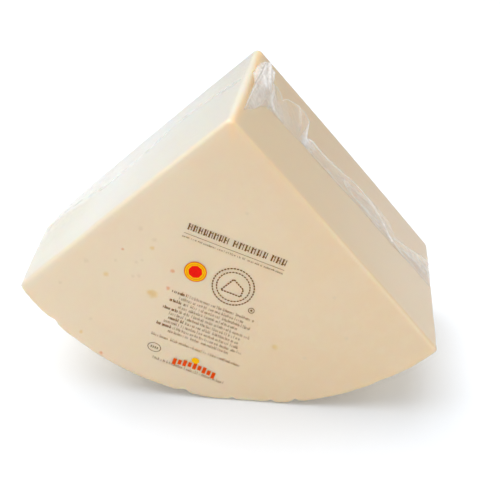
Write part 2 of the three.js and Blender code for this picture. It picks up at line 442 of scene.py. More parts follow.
# %% Where the pale left cut, the right cut and the rind lie
# Each pair: where a fade starts and where it ends.
PALE_FADE = (0.2 * MM, 5.5 * MM)
PALE_OVER_TIP = 2.2 * MM
TIP_ZONE = 13 * MM
RIGHT_BELOW = (0.3 * MM, 3 * MM)
RIGHT_FROM_FRONT = (0.4 * MM, 2 * MM)
SEAM_SHADE_DEPTHS = (52 * MM, 84 * MM)
RIND_ZONE = (RIND_RADIUS - 3 * MM, RIND_RADIUS - 0.8 * MM)
WARM_HALF_WIDTH = 75 * MM

depth = points[:, 1] - FRONT
down_left, below_left = along_and_below(points, left_down, left_out)
down_right, below_right = along_and_below(points, right_down, right_out)
left_skin = below_left + left_swelling(down_left, depth)
right_skin = below_right + right_swelling(down_right)
from_tip = np.linalg.norm(points[:, (0, 2)] - np.array(tip), axis=1)
near_tip = np.exp(-(from_tip / TIP_ZONE) ** 4)
pale_ends = PALE_OVER_TIP * near_tip * np.sin(math.pi * np.clip(depth / DEPTH, 0, 1))
# Painted light: the left cut, facing the key light, is painted paler, with a painted reflection in its
# film.
pale = 1 - smoothly((left_skin - pale_ends) / (1 - 0.6 * near_tip), *PALE_FADE)
paint(cheese.data, "lit_pale_cut", pale)
# Painted shade: the right cut, turned away from the light, is painted darker.
on_right = (1 - smoothly(right_skin, *RIGHT_BELOW)) * smoothly(depth, *RIGHT_FROM_FRONT)
paint(cheese.data, "shaded_right_cut", on_right)
# Painted shade on the right cut behind the standing seam.
paint(cheese.data, "shade_behind_seam", on_right * smoothly(depth, *SEAM_SHADE_DEPTHS))
radius, degrees = around_rind(points)
paint(cheese.data, "rind", smoothly(radius, *RIND_ZONE) * (1 - pale))
paint(cheese.data, "warm_side", smoothly(points[:, 0] - tip.x, -WARM_HALF_WIDTH, WARM_HALF_WIDTH))
print("pale cut on", round(100 * pale.mean()), "% of the points")

# %% Where the crease and the painted glow of the edges lie
CREASE_BELOW = (0.5 * MM, 1.8 * MM)
CREASE_FROM_FRONT = (0.1 * MM, 0.9 * MM)
CREASE_GROWS = (35 * MM, 95 * MM)
CREASE_LEAST = 0.1
FRONT_GLOW_WIDTH = 7 * MM
TIP_GLOW_MIDDLE = 2.2 * MM
TIP_GLOW_HALF_WIDTH = 2.8 * MM
TIP_GLOW_GROWS = (60 * MM, 100 * MM)
TIP_GLOW_LEAST = 0.55

# The film's pale crease along the right front edge, partly its own line and partly a painted highlight on
# the rounded edge.
by_edge = (1 - smoothly(right_skin, *CREASE_BELOW)) * (1 - smoothly(depth, *CREASE_FROM_FRONT))
growing = CREASE_LEAST + (1 - CREASE_LEAST) * smoothly(from_tip, *CREASE_GROWS)
paint(cheese.data, "crease_highlight", by_edge * growing)
# Painted light: a warm glow at the front of the left cut, as of light shining through the thin edge.
paint(cheese.data, "painted_front_glow", np.exp(-(np.hypot(left_skin, depth) / FRONT_GLOW_WIDTH) ** 2))
# Painted light: an amber glow along the rounded tip, as of light shining through it, stronger towards the
# back.
past_tip = down_right - down_left
painted_tip_glow = np.exp(-((past_tip - pale_ends - TIP_GLOW_MIDDLE) / TIP_GLOW_HALF_WIDTH) ** 2)
painted_tip_glow *= TIP_GLOW_LEAST + (1 - TIP_GLOW_LEAST) * smoothly(depth, *TIP_GLOW_GROWS)
paint(cheese.data, "painted_tip_glow", painted_tip_glow * near_tip)
print("crease on", np.count_nonzero(by_edge), "points")

# %% The cheese material
PASTE = (0.85, 0.705, 0.505)
PASTE_WARM = (0.84, 0.665, 0.435)
PASTE_LIGHT = (0.86, 0.725, 0.53)
# Painted shade of the right cut, which faces away from the light.
PASTE_SHADED = (0.78, 0.595, 0.36)
# Painted shade on the right cut behind the seam.
PASTE_SHADE_BEHIND = (0.75, 0.56, 0.335)
# Painted light and painted reflection on the left cut, which faces the key light.
LIT_PALE_PASTE = (0.78, 0.745, 0.625)
RIND_STRAW = (0.74, 0.59, 0.37)
# Painted glow of light shining through the thin front edge.
EDGE_GLOW_CREAM = (0.83, 0.70, 0.505)
# The film's crease along the right front edge, partly a painted highlight.
CREASE_HIGHLIGHT_CREAM = (0.95, 0.83, 0.64)
# Painted glow of light shining through the thin tip.
TIP_GLOW_AMBER = (0.92, 0.66, 0.34)
STAIN_OCHRE = (0.80, 0.58, 0.24)
STAIN_RUST = (0.78, 0.38, 0.16)
STAIN_GREY = (0.78, 0.64, 0.44)
# Each look that is painted, from the lowest up: its paint, strength and colour.
LOOKS = (("shaded_right_cut", 1.0, PASTE_SHADED), ("shade_behind_seam", 1.0, PASTE_SHADE_BEHIND), ("lit_pale_cut", 1.0, LIT_PALE_PASTE),
         ("painted_front_glow", 0.5, EDGE_GLOW_CREAM), ("crease_highlight", 1.0, CREASE_HIGHLIGHT_CREAM), ("painted_tip_glow", 0.95, TIP_GLOW_AMBER))
# The stains of each colour: across from the tip, up from the floor, size.
STAINS = {
    STAIN_OCHRE: ((-43.4, 68.6, 3.4), (-45.6, 69.4, 2.0), (-42.3, 97.0, 1.6), (-68.7, 79.2, 2.0),
                  (-86.1, 40.4, 1.6), (23.2, 39.0, 2.2)),
    STAIN_RUST: ((-58.2, 95.2, 1.0), (-32.1, 83.6, 1.5), (-35.0, 72.4, 1.5), (-75.7, 26.8, 1.5)),
    STAIN_GREY: ((-40.9, 101.8, 1.6), (-62.7, 88.0, 1.1), (-51.6, 87.8, 1.2), (-48.3, 89.2, 1.2),
                 (-54.1, 79.0, 1.3), (-50.5, 79.2, 1.3), (-79.7, 49.7, 1.4), (-79.1, 86.7, 1.8),
                 (-47.9, 108.2, 1.6), (54.4, 73.3, 1.2), (40.0, 33.0, 1.6), (62.0, 48.0, 1.5),
                 (8.0, 120.0, 1.4), (-95.0, 72.0, 1.5))}
STAIN_INNER, STAIN_OUTER, STAIN_STRENGTH = 0.3, 1.15, 0.8
RAGGED_SIZE = 2.2 * MM
RAGGED_SHIFT = 1.6 * MM
CLOUD_SIZE = 45 * MM
MOTTLE_SIZE = 7 * MM
STRAW_SIZE = 16 * MM
GRAIN_SIZE = 1.6 * MM
GRAIN_HEIGHT = 0.12 * MM
LIGHT_REACH = 4.5 * MM
REACH_BY_COLOUR = (1.0, 0.62, 0.36)


def paste_colour(tree, place):
    cloudy = remap(tree, noise_at(tree, place, CLOUD_SIZE), 0.3, 0.7, -0.25, 0.25)
    cloudy = math_node(tree, "ADD", painted(tree, "warm_side"), cloudy)
    mottled = remap(tree, noise_at(tree, place, MOTTLE_SIZE, 5.0, 0.6), 0.42, 0.7, 0.0, 0.3)
    colour = tint(tree, (*PASTE, 1), cloudy, PASTE_WARM)
    colour = tint(tree, colour, mottled, PASTE_LIGHT)
    for name, strength, look in LOOKS:
        colour = tint(tree, colour, math_node(tree, "MULTIPLY", painted(tree, name), strength), look)
    straw = remap(tree, noise_at(tree, place, STRAW_SIZE, 6.0, 0.65), 0.35, 0.65, 0.35, 1.0)
    return tint(tree, colour, math_node(tree, "MULTIPLY", painted(tree, "rind"), straw), RIND_STRAW)


def ragged_place(tree, place):
    """The place, shifted a little by noise, so that the stains get ragged outlines."""
    lumps = add(tree, "ShaderNodeTexNoise", {"Vector": place, "Scale": 1 / RAGGED_SIZE})
    values = {0: lumps.outputs["Color"], 1: [RAGGED_SHIFT] * 3, 2: place}
    return add(tree, "ShaderNodeVectorMath", values, operation="MULTIPLY_ADD").outputs["Vector"]


def stained(tree, place, colour):
    """Adds the stains. The noise shifts the place by half its range, so their middles move too."""
    ragged = ragged_place(tree, place)
    half = RAGGED_SHIFT / 2
    for stain, places in STAINS.items():
        for across, up, size in places:
            middle = (tip.x + across * MM + half, FRONT + half, up * MM + half)
            distance = add(tree, "ShaderNodeVectorMath", {0: ragged, 1: middle}, operation="DISTANCE")
            share = remap(tree, distance.outputs["Value"], STAIN_INNER * size * MM,
                          STAIN_OUTER * size * MM, STAIN_STRENGTH, 0.0)
            colour = tint(tree, colour, share, stain)
    return colour


def cheese_material():
    material, tree, shader = new_material("sheep's milk paste")
    place = object_place(tree)
    grain = noise_at(tree, place, GRAIN_SIZE, 4.0, 0.6)
    fill(shader, {"Base Color": stained(tree, place, paste_colour(tree, place)),
                  "Roughness": 0.5, "Specular IOR Level": 0.35,
                  "Subsurface Weight": 1.0, "Subsurface Radius": REACH_BY_COLOUR,
                  "Subsurface Scale": LIGHT_REACH, "Normal": bump(tree, grain, GRAIN_HEIGHT, 0.5)})
    return material


dress(cheese, cheese_material(), "cheese", "cheese_wedge")

# %% [markdown]
# ## The skin of film
# The film lies tight on the cheese, so it's nearly invisible: it shows by its gloss, by faint
# wrinkles beside the seam and by a haze over the swollen corner, where it doesn't quite touch.
# A refracting shell so close to the cheese would render dark, so the film is a mix: straight
# through, mirrored, or milky white where haze is painted. It mirrors little face on and more and
# more towards a glancing look, and alike from both sides.

# %% Helpers for film
FACE_ON_MIRROR = 0.04
MIRROR_RISE = 5.0


def new_film(name):
    """A material that starts without a surface of its own."""
    material, tree, shader = new_material(name)
    tree.nodes.remove(shader)
    return material, tree


def film_mirror(tree, relief, strength):
    """How much film mirrors: a little face on, all of it at a glancing look, times a strength."""
    facing = add(tree, "ShaderNodeLayerWeight", {"Blend": 0.5, **relief})
    rise = math_node(tree, "POWER", facing.outputs["Facing"], MIRROR_RISE)
    rise = math_node(tree, "MULTIPLY", rise, (1 - FACE_ON_MIRROR) * strength)
    return math_node(tree, "ADD", rise, FACE_ON_MIRROR * strength)


def mixed(tree, share, first, second):
    """Shows the second shader by a share, and the first one else."""
    return add(tree, "ShaderNodeMixShader", {0: share, 1: first.outputs[0], 2: second.outputs[0]})


def coated(tree, roughness, strength, relief, shade):
    """Clear film with a gloss on it. relief and shade hold the inputs for its bumps and colour."""
    clear = add(tree, "ShaderNodeBsdfTransparent", shade)
    gloss = add(tree, "ShaderNodeBsdfGlossy", {"Roughness": roughness, **relief})
    return mixed(tree, film_mirror(tree, relief, strength), clear, gloss)


def finish_film(tree, film, milk, streaks):
    """Turns the film milky where haze is painted, broken up by streaks."""
    cloud = math_node(tree, "MULTIPLY", painted(tree, "haze"), streaks)
    fill(tree.nodes["Material Output"], {"Surface": mixed(tree, cloud, film, milk).outputs[0]})


# %% [markdown]
# We copy the cheese's surface, move it out by a fraction of a millimetre and raise the wrinkles.
# The seam's way down the left cut is needed for that: pairs of distance from the tip and depth.

# %% Film skin
LEFT_SEAM_LINE = ((0, 64), (5, 66), (11, 69), (18, 73), (28, 76), (40, 78), (55, 79), (68, 72), (84, 64),
                  (101, 66), (120, 70), (137, 71), (158, 72))
WRINKLE_HALF_WIDTH = 12 * MM
WRINKLE_LONG, WRINKLE_SHORT = 9 * MM, 4 * MM
WRINKLE_HEIGHT = 0.05 * MM
WRINKLE_HAZE = 0.08
EAR_HAZE = 0.35
LEAST_CLEARANCE = 0.05 * MM
RELIEF_HEIGHT = 0.3 * MM
SKIN_GLOSS = 0.26
SKIN_MILK = (0.91, 0.905, 0.88)


def left_seam_depth(distance):
    line = np.array(LEFT_SEAM_LINE) * MM
    return np.interp(distance, line[:, 0], line[:, 1])


def skin_material():
    material, tree = new_film("clear film")
    place = object_place(tree)
    milk = add(tree, "ShaderNodeBsdfDiffuse", {"Color": (*SKIN_MILK, 1)})
    relief = bump(tree, noise_at(tree, place, WRINKLE_LONG), RELIEF_HEIGHT, 0.5)
    streaks = remap(tree, noise_at(tree, place, WRINKLE_SHORT, 4.0, 0.6), 0.35, 0.75, 0.5, 1.0)
    finish_film(tree, coated(tree, SKIN_GLOSS, 1.0, {"Normal": relief}, {}), milk, streaks)
    return material


skin = show("film_skin", cheese.data.copy())
write_points(skin.data, skin_points)
normals = np.empty(len(skin_points) * 3, dtype=np.float32)
skin.data.vertices.foreach_get("normal", normals)
beside_seam = np.exp(-((depth - left_seam_depth(down_left)) / WRINKLE_HALF_WIDTH) ** 2)
near_left = 1 - smoothly(left_skin, 0.5 * MM, 4 * MM)
wrinkle = creased(skin_points * (1, 1.7, 1), WRINKLE_LONG, 4) + 0.5 * creased(skin_points, WRINKLE_SHORT, 5)
raised = WRINKLE_HEIGHT * near_left * beside_seam * np.clip(wrinkle, 0, 2)
skin_points += normals.reshape(-1, 3) * (FILM_GAP + raised)[:, None]
skin_points[:, 2] = np.maximum(skin_points[:, 2], LEAST_CLEARANCE)
write_points(skin.data, skin_points)
over_ear = smoothly(down_left, LEFT_CUT - EAR_REACH, LEFT_CUT) * smoothly(depth, 20 * MM, 60 * MM)
wrinkle_haze = WRINKLE_HAZE * beside_seam * smoothly(wrinkle, 0.7, 1.3)
paint(skin.data, "haze", near_left * np.maximum(wrinkle_haze, EAR_HAZE * over_ear))
dress(skin, skin_material(), "film")
print("film skin has", len(skin.data.polygons), "faces")

# %% [markdown]
# ## The crumpled seam
# The film's weld was folded over and laid against the cuts. From the tip down the right cut it
# stands up as a tuft, then two loose lobes, then a narrow veil that ends in a whitish fan. Each
# part is a grid whose short side runs from the foot of the fold to its free edge. A row of
# stations gives foot, edge and lift along the cut. The folds that catch the eye are listed too,
# each a soft ridge over a straight line, and noise adds the small ones.

# %% Stations of the seam
# Each station: millimetres along the cut, depth of the foot, depth of the free edge, lift.
TUFT_STATIONS = (
    (1.6, 69, 75, 3.2), (2.4, 64.5, 80, 3.5), (3.3, 60, 84, 3.7), (4.5, 54.5, 87.5, 3.9),
    (4.8, 20, 88, 7.8), (6.3, 23.5, 91.5, 7.8), (8, 27.5, 90.5, 8), (9.3, 31.5, 88, 8),
    (11, 37, 85.5, 8), (13.1, 44, 83, 7.6), (13.6, 46, 76, 6.8), (14.6, 49, 75, 6.4), (17.7, 54, 78, 6),
    (22.3, 55, 77, 5), (24.4, 55.5, 74, 4), (26.5, 56, 79, 5.5), (33, 56, 82.5, 6.5),
    (40.5, 56.8, 84, 6.8), (45.8, 58, 82, 5.5), (47.3, 58.6, 75, 3.4), (49, 59, 68.5, 1.4),
    (50.5, 59.5, 66, 0.3))
# The tuft's shoulder, next to the tip, hangs free: pairs of along and height of its foot.
TUFT_FOOT_LIFT = ((4.4, 3.6), (4.8, 0))
VEIL_STATIONS = (
    (47, 59.5, 66, 0.3), (49, 58.5, 68, 1.4), (52, 58.3, 69.5, 2.6), (58, 57.5, 69.5, 2.8),
    (65, 57.5, 70, 2.8), (72, 58, 72, 3), (80, 58.5, 74.5, 3), (90, 60, 77.5, 3), (98, 60.5, 79.5, 3),
    (106, 60.5, 79.5, 3), (114, 60.5, 80.5, 3), (120, 61, 80, 3), (125, 61, 77.5, 2.8),
    (129, 61, 70, 2.6), (138, 62.3, 72, 2.6), (147, 63.5, 78.5, 2.6), (156, 64, 86, 2.3),
    (167, 64, 94, 1.6))
# The left part follows LEFT_SEAM_LINE: distance from the tip, half width, lift.
LEFT_WIDTHS = ((2, 3.5, 0.3), (8, 4, 0.4), (20, 3.5, 0.35), (50, 3, 0.3), (140, 3, 0.3), (152, 2, 0.3))

# %% White patches and folds, listed one by one
# Each whitish patch: along, depth, half lengths along and in depth, strength.
WHITE_PATCHES = (
    (8, 86, 5.5, 12, 0.72), (7.5, 69, 5, 9, 0.6), (9, 46, 9, 24, 0.4), (17.5, 63, 4, 7, 0.26),
    (24, 63, 6, 6, 0.14), (47.5, 67, 3, 9, 0.42), (52, 63, 5, 5, 0.14), (38, 62, 14, 6, 0.08),
    (76, 67, 16, 6, 0.09), (108, 70, 12, 8, 0.11), (152, 72, 14, 9, 0.22), (163, 84, 8, 9, 0.16),
    (-4, 71, 7, 5, 0.24), (-16, 73, 8, 4, 0.10))
# Each fold: start and end (along, depth), half width, rise, whiteness.
FOLDS = (
    ((6.5, 93), (10.5, 74), 1.2, 0.9, 0.45), ((10.5, 74), (13.2, 65), 1.2, 0.8, 0.5),
    ((4.6, 88), (6, 71), 1.1, 0.8, 0.34), ((6, 71), (10.6, 63), 1.1, 0.6, 0.3),
    ((2.2, 72), (4.4, 83), 0.8, 0.5, 0.25), ((10.8, 89), (12.6, 77), 0.9, 0.8, 0.38),
    ((12.8, 77), (16.3, 69), 1.1, 0.7, 0.34), ((16.3, 69), (17.8, 62), 1.2, 0.6, 0.4),
    ((17.8, 62), (22.6, 58.8), 1.3, 0.6, 0.36), ((22.6, 58.8), (30, 57.8), 1.1, 0.4, 0.18),
    ((4.9, 53), (5.1, 23), 0.5, 0.1, 0.18), ((9, 62), (7.2, 34), 1.4, 0.2, 0.06),
    ((35, 83), (38, 75), 0.9, 0.6, 0.18), ((38, 75), (41.5, 66), 0.9, 0.5, 0.12),
    ((44.8, 80), (46.2, 72), 0.8, 0.8, 0.26), ((46.2, 72), (49.1, 65), 0.8, 0.7, 0.26),
    ((50, 68), (61, 67), 0.8, 0.5, 0.3), ((61, 67), (71, 69.5), 0.7, 0.5, 0.4),
    ((71, 69.5), (85, 74), 0.7, 0.4, 0.34), ((85, 74), (96, 77), 0.7, 0.4, 0.24),
    ((96, 77), (108, 75.5), 0.8, 0.5, 0.3), ((108, 75.5), (119, 69.5), 0.8, 0.5, 0.3),
    ((119, 69.5), (128, 63.5), 0.9, 0.6, 0.46), ((66, 60), (82, 61.5), 0.6, 0.3, 0.14),
    ((90, 64), (116, 64.5), 0.7, 0.3, 0.16), ((128, 63.5), (146, 64.5), 0.7, 0.3, 0.2),
    ((128.5, 66), (147, 77), 0.8, 0.4, 0.2), ((136, 66), (156, 73), 0.7, 0.5, 0.22),
    ((4, 74), (-6, 71.5), 1.2, 0.15, 0.22), ((-6, 71.5), (-10, 74), 1.0, 0.1, 0.2),
    ((-12, 70), (-18, 74), 0.9, 0.1, 0.18), ((-24, 74), (-29, 77), 0.8, 0.1, 0.12))


def whitish_patches(along, depth):
    white = np.zeros(len(along))
    for middle, deep, half_along, half_depth, strength in WHITE_PATCHES:
        bell = ((along / MM - middle) / half_along) ** 2 + ((depth / MM - deep) / half_depth) ** 2
        white += strength * np.exp(-bell ** 1.5)
    return white


def laid_folds(along, depth):
    """The height and the whiteness of the folds laid on by hand."""
    rise, white = np.zeros(len(along)), np.zeros(len(along))
    place = np.column_stack((along, depth)) / MM
    for start, end, half_width, height, strength in FOLDS:
        line = np.subtract(end, start)
        share = np.clip((place - start) @ line / (line @ line), 0, 1)
        away = np.linalg.norm(place - start - np.outer(share, line), axis=1)
        ridge = np.exp(-(away / half_width) ** 2)
        rise = np.maximum(rise, height * MM * ridge)
        white = np.maximum(white, strength * ridge)
    return rise, white


# %% [markdown]
# The small folds are noise. What makes them look like film is the way they run: in rays from the
# top of the tuft, down the length of the veil, and short on the left part. So each part first
# bends or squeezes its own flat sheet, and the noise is read there.

# %% How the small folds run
TUFT_TOP = (7.5 * MM, 92 * MM)
FAN_ROUNDING = 4 * MM
FAN_PITCH = 38 * MM
LINE_STRETCH = 0.22
SHORT_STRETCH = 0.7
WEB_CRUMPLE, CORE_CRUMPLE = 0.14, 0.5
CORE_MIDDLE, CORE_HALF_WIDTH = 8 * MM, 6.5 * MM
CORE_STARTS = (52 * MM, 70 * MM)
VEIL_CRUMPLE = 0.35 * MM
LEFT_CRUMPLE = 0.06 * MM


def fan_pattern(along, depth):
    """Places measured round and away from the top of the tuft, so that noise makes rays."""
    across, below = along - TUFT_TOP[0], TUFT_TOP[1] - depth
    turn = np.arctan2(across, below + FAN_ROUNDING)
    return np.column_stack((turn * FAN_PITCH, np.hypot(across, below) * LINE_STRETCH, across * 0))


def line_pattern(along, depth, stretch=LINE_STRETCH):
    """Places squeezed along the strip, so that noise makes folds that run down it."""
    return np.column_stack((along * stretch, depth, along * 0))


def short_pattern(along, depth):
    return line_pattern(along, depth, SHORT_STRETCH)


def tuft_crumple(along, depth):
    """Strong crumpling at the core of the tuft, hardly any on the web below it and on the lobes."""
    core = np.exp(-((along - CORE_MIDDLE) / CORE_HALF_WIDTH) ** 2) * smoothly(depth, *CORE_STARTS)
    return (WEB_CRUMPLE + CORE_CRUMPLE * core) * MM


# %% A strip of crumpled film
LARGE_FOLD, SMALL_FOLD = 7 * MM, 3 * MM
LARGE_SHARE = 0.85
LIFT_SHARE = 0.85
LIFT_CURVE = 1.2
LEAST_HEIGHT = 0.18 * MM
SWAY, SWAY_SIZE = 0.45 * MM, 6 * MM
FREE_ABOVE = 0.4
EDGE_WHITE_WIDTH = (1.0 * MM, 0.3 * MM)
EDGE_WHITE_STARTS = 12 * MM
RIDGE_ZONE = (0.35, 0.95)
FOOT_LINE = (0.2 * MM, 1.4 * MM)
FOOT_LINE_STARTS = (17 * MM, 20 * MM)
FOOT_LINE_GAPS = 2.5 * MM
MOST_HAZE = 0.85
SHEET_THICKNESS = 0.12 * MM


def grid_piece(name, along_steps, across_steps, half_size=0.5):
    bm = bmesh.new()
    bmesh.ops.create_grid(bm, x_segments=along_steps, y_segments=across_steps, size=half_size)
    return from_bmesh(name, bm)


def film_sheet(name, stations, steps, pattern, crumple, whites, seed, foot_lift=((0, 0),)):
    """A strip of crumpled film over the cuts, from its foot to its free edge.

    crumple gives the height of the small folds at a place, whites the white of the whole sheet,
    of its free edge and of the small folds."""
    table = np.array(stations) * MM
    length = table[-1, 0] - table[0, 0]
    sheet = grid_piece(name, *steps)
    flat = read_points(sheet.data)
    along = table[0, 0] + (flat[:, 0] + 0.5) * length
    up_sheet = flat[:, 1] + 0.5
    foot, edge, lift = (np.interp(along, table[:, 0], table[:, column]) for column in (1, 2, 3))
    width = edge - foot
    depth = foot + width * up_sheet
    folded = pattern(along, depth)
    large, small = creased(folded, LARGE_FOLD, seed), creased(folded, SMALL_FOLD, seed + 1)
    free = smoothly(up_sheet, 0, FREE_ABOVE)
    rise, fold_white = laid_folds(along, depth)
    height = LIFT_SHARE * lift * np.sin(up_sheet * math.pi / 2) ** LIFT_CURVE
    height += np.interp(along, *(np.array(foot_lift) * MM).T)
    rough = crumple(along, depth)
    height += free * (rise + rough * (LARGE_SHARE * large + (1 - LARGE_SHARE) * small))
    height = np.maximum(height, LEAST_HEIGHT)
    sway = SWAY * free * noise_field(folded, SWAY_SIZE, seed + 2)
    write_points(sheet.data, on_cuts(along + sway, depth + sway, height))
    from_foot = up_sheet * width
    wide, narrow = EDGE_WHITE_WIDTH
    near_edge = smoothly(from_foot, width - wide, width - narrow) * (along > EDGE_WHITE_STARTS)
    ridges = smoothly(0.7 * large + 0.3 * small, *RIDGE_ZONE)
    patches = whitish_patches(along, depth)
    base_white, edge_white, ridge_white = whites
    # The haze is the film's own whitening; the white along the ridges and the free edge is partly painted
    # highlight.
    haze = base_white + patches * (0.7 + 0.4 * ridges * rough / MM) + fold_white
    haze += ridge_white * ridges + edge_white * near_edge
    paint(sheet.data, "haze", np.minimum(haze, MOST_HAZE))
    foot_line = 1 - smoothly(from_foot, *FOOT_LINE)
    broken = smoothly(noise_field(line_pattern(along, depth), FOOT_LINE_GAPS, 3), -0.05, 0.4)
    paint(sheet.data, "foot_shade", foot_line * broken * smoothly(along, *FOOT_LINE_STARTS))
    thicken = sheet.modifiers.new("film thickness", "SOLIDIFY")
    thicken.thickness = SHEET_THICKNESS
    sheet.data.shade_smooth()
    print(name, "has", len(sheet.data.polygons), "faces")
    return sheet


def left_stations():
    """Stations of the left part, from the rind up to the tip."""
    distances, half_widths, lifts = zip(*LEFT_WIDTHS)
    stations = []
    for distance in range(152, 3, -4):
        middle = left_seam_depth(distance * MM) / MM
        half = np.interp(distance, distances, half_widths)
        stations.append((-distance, middle - half, middle + half, np.interp(distance, distances, lifts)))
    return stations


# %% [markdown]
# Crumpled film is white where many small folds lie over each other, and the white along its
# ridges and free edges is partly a painted highlight. So the seam has the film's mix again, with
# more milk in it. Some of the light that meets the milk goes through, which keeps the shaded
# sides of the tuft bright. At the foot of the fold the cheese shows a little darker, as painted shade.

# %% Seam film and the three parts of the seam
MILK_WHITE = (0.97, 0.962, 0.95)
MILK_THROUGH = 0.2
FOOT_SHADE = (0.95, 0.90, 0.83)
STREAK_SIZE = 2.5 * MM
SEAM_GLOSS = 0.22


def seam_material(name, mirror):
    material, tree = new_film(name)
    shade = tint(tree, (1, 1, 1, 1), painted(tree, "foot_shade"), FOOT_SHADE)
    face = add(tree, "ShaderNodeBsdfPrincipled", {"Base Color": (*MILK_WHITE, 1), "Roughness": 0.35})
    through = add(tree, "ShaderNodeBsdfTranslucent", {"Color": (*MILK_WHITE, 1)})
    milk = mixed(tree, MILK_THROUGH, face, through)
    streaks = remap(tree, noise_at(tree, object_place(tree), STREAK_SIZE), 0.35, 0.7, 0.85, 1.1)
    finish_film(tree, coated(tree, SEAM_GLOSS, mirror, {}, {"Color": shade}), milk, streaks)
    return material


seam_film = seam_material("crumpled film", 0.15)
flat_film = seam_material("flat seam film", 0.04)
tuft = film_sheet("film_tuft", TUFT_STATIONS, (150, 90), fan_pattern, tuft_crumple, (0.02, 0.75, 0.08), 11,
                  TUFT_FOOT_LIFT)
veil = film_sheet("film_veil", VEIL_STATIONS, (240, 26), line_pattern,
                  lambda along, depth: VEIL_CRUMPLE, (0.09, 0.03, 0.15), 23)
left_seam = film_sheet("film_seam_left", left_stations(), (260, 20), short_pattern,
                       lambda along, depth: LEFT_CRUMPLE, (0.0, 0.0, 0.25), 37)
for piece, film in ((tuft, seam_film), (veil, seam_film), (left_seam, flat_film)):
    dress(piece, film, "film", "film_seam")

# %% [markdown]
# ## The print
# The film is printed before it's made into a bag, so the ink lies on it in a very thin layer.
# The print is plain: rows of short strokes, a heading of upright bars, a rule, discs, rings and
# bars. All marks are made flat in the print's own slanted frame, u to the right and v down, in
# millimetres from the start of the rule under the heading. Rays then drop each point on the
# film, so that the ink follows it, and an extrusion gives the layer its thickness.

# %% Print frame and marks
PRINT_START = Vector((tip.x - 25.0 * MM, 105.75 * MM))
PRINT_SLANT = math.radians(20.2)
PRINT_GAP = 3 * MM
INK_THICKNESS = 0.02 * MM
LONGEST_FLAT = 4.0
RING_SIDES = 40
WEAR_SIZE = 0.9 * MM
LEAST_COVER = 0.88

print_frame = Matrix((
    (math.cos(PRINT_SLANT), math.sin(PRINT_SLANT), 0, PRINT_START.x),
    (0, 0, -1, FRONT - PRINT_GAP),
    (-math.sin(PRINT_SLANT), math.cos(PRINT_SLANT), 0, PRINT_START.y),
    (0, 0, 0, 1)))


skin_surface = BVHTree.FromPolygons(skin_points.tolist(), [face.vertices[:] for face in skin.data.polygons])


class Ink:
    """All the marks of one colour, in millimetres in the print's frame, laid on the film."""

    def __init__(self):
        self.bm = bmesh.new()

    def place(self, verts, u, v, turn=0.0, size=(1, 1)):
        matrix = (Matrix.Translation((u * MM, -v * MM, 0)) @ Matrix.Rotation(turn, 4, "Z")
                  @ Matrix.Diagonal((size[0] * MM, size[1] * MM, 1, 1)))
        bmesh.ops.transform(self.bm, matrix=matrix, verts=verts)

    def bar(self, u, v, width, height, turn=0.0):
        parts = math.ceil(width / LONGEST_FLAT)
        made = bmesh.ops.create_grid(self.bm, x_segments=parts, y_segments=1, size=0.5)
        self.place(made["verts"], u, v, turn, (width, height))

    def disc(self, u, v, radius, squash=1.0, sides=32):
        made = bmesh.ops.create_circle(self.bm, cap_ends=True, segments=sides, radius=1)
        self.place(made["verts"], u, v, 0, (radius, radius * squash))

    def ring(self, u, v, radius, width, squash=1.0):
        made = bmesh.ops.create_circle(self.bm, cap_ends=True, segments=RING_SIDES, radius=1)
        face = made["verts"][0].link_faces[0]
        rim = bmesh.ops.inset_region(self.bm, faces=[face], thickness=width / radius,
                                     use_boundary=True, use_even_offset=True)["faces"]
        bmesh.ops.delete(self.bm, geom=[face], context="FACES")
        self.place(list({vert for face in rim for vert in face.verts}), u, v, 0, (radius, radius * squash))

    def finish(self, name, material, layer=1):
        bmesh.ops.transform(self.bm, matrix=print_frame, verts=self.bm.verts[:])
        for vert in self.bm.verts:
            vert.co = skin_surface.ray_cast(vert.co, (0, 1, 0))[0]
        bmesh.ops.translate(self.bm, verts=self.bm.verts[:], vec=(0, -layer * INK_THICKNESS, 0))
        grown = bmesh.ops.extrude_face_region(self.bm, geom=self.bm.faces[:])
        moved = [item for item in grown["geom"] if isinstance(item, bmesh.types.BMVert)]
        bmesh.ops.translate(self.bm, verts=moved, vec=(0, -0.5 * INK_THICKNESS, 0))
        bmesh.ops.recalc_face_normals(self.bm, faces=self.bm.faces[:])
        piece = from_bmesh(name, self.bm)
        dress(piece, material, "film")
        print(name, "has", len(piece.data.polygons), "faces")


def ink_material(name, colour, cover):
    material, tree, shader = new_material(name)
    speckle = noise_at(tree, object_place(tree), WEAR_SIZE, 4.0, 0.7)
    fill(shader, {"Base Color": (*colour, 1), "Roughness": 0.45, "Specular IOR Level": 0.05,
                  "Alpha": remap(tree, speckle, 0.3, 0.6, cover * LEAST_COVER, cover)})
    return material


# %% Rows of strokes
STROKE = 0.17
LETTER = 1.05
STEM_APART = 0.52
SECOND_STEM = 0.8
TIE_WIDTH = 0.5
TIE_LEVELS = (0.2, 0.5, 0.8)
LOW_SHARE = 0.68
TALL_CHANCE, PAIR_CHANCE = 0.35, 0.66
GROUP_GAP = 0.55
ROW_STEP = 2.87
FIRST_ROW = 35.8
ROW_MIDDLE = 28.4
ROW_HEIGHT = 2.1
ROW_WIDTHS = (47.1, 37.2, 46.1, 34.7, 50.4, 41.6, 40.6, 44.1, 50.8, 35.8)
BOLD_WIDTH = 8.5
# Each single row: start, end, v, height.
SINGLE_ROWS = ((-0.6, 55.4, 1.2, 1.35), (2.5, 55.8, 67.0, ROW_HEIGHT), (7.9, 50.6, 82.2, ROW_HEIGHT))
draw = random.Random(5)
brown = Ink()


